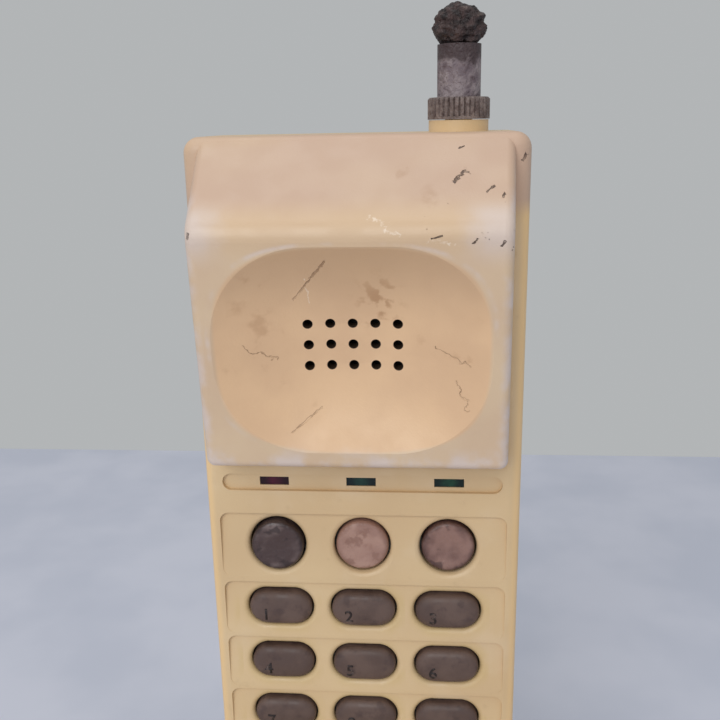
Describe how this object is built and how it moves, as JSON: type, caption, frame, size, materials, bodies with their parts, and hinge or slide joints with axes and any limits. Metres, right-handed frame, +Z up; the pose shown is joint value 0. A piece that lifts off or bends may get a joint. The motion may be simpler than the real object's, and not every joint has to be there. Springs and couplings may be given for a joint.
{
  "type": "cordless phone with base",
  "caption": "Brick handset with a scooped earpiece, oval keys, indicator strip and stub antenna, standing in a low sloping desk base with a folding antenna.",
  "frame": {"origin": "middle of the base's footprint, on the table", "axes": "+Z up; the keys and the front of the base face -Y; the antenna side is +X"},
  "size_m": [0.1, 0.116, 0.2115],
  "materials": {
    "cream_shell": "aged cream ABS, fine satin",
    "base_shell": "aged cream ABS, fine satin",
    "bottom_plate": "dark brown ABS, matt",
    "key_plastic": "dark brown keytops, satin",
    "button_dark": "dark brown, satin",
    "button_pink": "pinkish brown, satin",
    "button_red": "reddish brown, satin",
    "red_lens": "unlit red window",
    "green_lens": "unlit green window",
    "mat_rubber": "grey silicone rubber",
    "foot_rubber": "black rubber",
    "torn_rubber": "perished black rubber",
    "foam": "foam ring",
    "board": "green circuit board laminate",
    "board_part": "tinned screening can and parts",
    "capsule": "plain capsule can",
    "cell": "blue shrink sleeve",
    "brass": "plain brass",
    "spring_steel": "bright wire",
    "screw_steel": "zinc plated",
    "collar": "grey brown knurled plastic",
    "core": "grey plastic rod, dull",
    "tube": "polished tube",
    "socket": "black moulding"
  },
  "bodies": {
    "base": {"base_top_shell": "base_shell", "base_bottom_plate": "bottom_plate", "base_feet": "foot_rubber", "base_screws": "screw_steel", "base_circuit_board": "board", "base_board_components": "board_part", "base_ringer": "capsule", "base_power_lens": "red_lens", "base_charge_lens": "green_lens", "line_socket": "socket", "line_socket_wires": "brass", "power_socket": "socket", "charge_strips": "brass", "charge_spring_left": "spring_steel", "charge_spring_right": "spring_steel", "base_antenna_bracket": "spring_steel"},
    "handset": {"antenna_bush": "brass", "antenna_collar": "collar", "antenna_core": "core", "antenna_sleeve": "torn_rubber", "antenna_stud": "brass", "battery_cells": "cell", "battery_contacts": "spring_steel", "board_components": "board_part", "earpiece_capsule": "capsule", "earpiece_gasket": "foam", "handset_charge_contacts": "brass", "handset_circuit_board": "board", "handset_front_shell": "cream_shell", "handset_rear_shell": "cream_shell", "handset_screws": "screw_steel", "keypad_mat": "mat_rubber", "lamp_lens_green_middle": "green_lens", "lamp_lens_green_right": "green_lens", "lamp_lens_red_left": "red_lens", "microphone_boot": "mat_rubber", "microphone_capsule": "capsule"},
    "battery_cover": {"battery_cover": "cream_shell"},
    "page_button": {"base_page_button": "key_plastic"},
    "pin_left": {"charge_pin_left": "brass"},
    "pin_right": {"charge_pin_right": "brass"},
    "mast_lower": {"base_antenna_lower": "tube"},
    "mast_middle": {"base_antenna_middle": "tube"},
    "mast_upper": {"base_antenna_upper": "tube"},
    "key_0_body": {"key_0": "key_plastic"},
    "key_1_body": {"key_1": "key_plastic"},
    "key_2_body": {"key_2": "key_plastic"},
    "key_3_body": {"key_3": "key_plastic"},
    "key_4_body": {"key_4": "key_plastic"},
    "key_5_body": {"key_5": "key_plastic"},
    "key_6_body": {"key_6": "key_plastic"},
    "key_7_body": {"key_7": "key_plastic"},
    "key_8_body": {"key_8": "key_plastic"},
    "key_9_body": {"key_9": "key_plastic"},
    "key_hash_body": {"key_hash": "key_plastic"},
    "key_star_body": {"key_star": "key_plastic"},
    "round_button_left_body": {"round_button_left": "button_dark"},
    "round_button_middle_body": {"round_button_middle": "button_pink"},
    "round_button_right_body": {"round_button_right": "button_red"}
  },
  "joints": [
    {"name": "handset_lift", "type": "slide", "parent": "base", "child": "handset", "axis": [0, 0, 1], "range_m": [0, 0.16]},
    {"name": "battery_cover_hinge", "type": "hinge", "parent": "handset", "child": "battery_cover", "pos_m": [0, 0.037, 0.13565], "axis": [1, 0, 0], "range_deg": [0, 70]},
    {"name": "page_button_press", "type": "slide", "parent": "base", "child": "page_button", "axis": [0, 0.2659, -0.964], "range_m": [0, 0.0015], "stiffness_N_per_m": 400},
    {"name": "mast_fold", "type": "hinge", "parent": "base", "child": "mast_lower", "pos_m": [0.042, 0.053, 0.0316], "axis": [0, 1, 0], "range_deg": [0, 90]},
    {"name": "mast_middle_slide", "type": "slide", "parent": "mast_lower", "child": "mast_middle", "axis": [-1, 0, 0], "range_m": [0, 0.05]},
    {"name": "mast_upper_slide", "type": "slide", "parent": "mast_middle", "child": "mast_upper", "axis": [-1, 0, 0], "range_m": [0, 0.05]},
    {"name": "charge_pin_left_press", "type": "slide", "parent": "base", "child": "pin_left", "axis": [0, 0, -1], "range_m": [0, 0.001], "stiffness_N_per_m": 300, "deforming": ["charge_spring_left"]},
    {"name": "charge_pin_right_press", "type": "slide", "parent": "base", "child": "pin_right", "axis": [0, 0, -1], "range_m": [0, 0.001], "stiffness_N_per_m": 300, "deforming": ["charge_spring_right"]},
    {"name": "key_0_press", "type": "slide", "parent": "handset", "child": "key_0_body", "axis": [0, 1, 0], "range_m": [0, 0.001], "stiffness_N_per_m": 500},
    {"name": "key_1_press", "type": "slide", "parent": "handset", "child": "key_1_body", "axis": [0, 1, 0], "range_m": [0, 0.001], "stiffness_N_per_m": 500},
    {"name": "key_2_press", "type": "slide", "parent": "handset", "child": "key_2_body", "axis": [0, 1, 0], "range_m": [0, 0.001], "stiffness_N_per_m": 500},
    {"name": "key_3_press", "type": "slide", "parent": "handset", "child": "key_3_body", "axis": [0, 1, 0], "range_m": [0, 0.001], "stiffness_N_per_m": 500},
    {"name": "key_4_press", "type": "slide", "parent": "handset", "child": "key_4_body", "axis": [0, 1, 0], "range_m": [0, 0.001], "stiffness_N_per_m": 500},
    {"name": "key_5_press", "type": "slide", "parent": "handset", "child": "key_5_body", "axis": [0, 1, 0], "range_m": [0, 0.001], "stiffness_N_per_m": 500},
    {"name": "key_6_press", "type": "slide", "parent": "handset", "child": "key_6_body", "axis": [0, 1, 0], "range_m": [0, 0.001], "stiffness_N_per_m": 500},
    {"name": "key_7_press", "type": "slide", "parent": "handset", "child": "key_7_body", "axis": [0, 1, 0], "range_m": [0, 0.001], "stiffness_N_per_m": 500},
    {"name": "key_8_press", "type": "slide", "parent": "handset", "child": "key_8_body", "axis": [0, 1, 0], "range_m": [0, 0.001], "stiffness_N_per_m": 500},
    {"name": "key_9_press", "type": "slide", "parent": "handset", "child": "key_9_body", "axis": [0, 1, 0], "range_m": [0, 0.001], "stiffness_N_per_m": 500},
    {"name": "key_hash_press", "type": "slide", "parent": "handset", "child": "key_hash_body", "axis": [0, 1, 0], "range_m": [0, 0.001], "stiffness_N_per_m": 500},
    {"name": "key_star_press", "type": "slide", "parent": "handset", "child": "key_star_body", "axis": [0, 1, 0], "range_m": [0, 0.001], "stiffness_N_per_m": 500},
    {"name": "round_button_left_press", "type": "slide", "parent": "handset", "child": "round_button_left_body", "axis": [0, 1, 0], "range_m": [0, 0.001], "stiffness_N_per_m": 500},
    {"name": "round_button_middle_press", "type": "slide", "parent": "handset", "child": "round_button_middle_body", "axis": [0, 1, 0], "range_m": [0, 0.001], "stiffness_N_per_m": 500},
    {"name": "round_button_right_press", "type": "slide", "parent": "handset", "child": "round_button_right_body", "axis": [0, 1, 0], "range_m": [0, 0.001], "stiffness_N_per_m": 500}
  ]
}
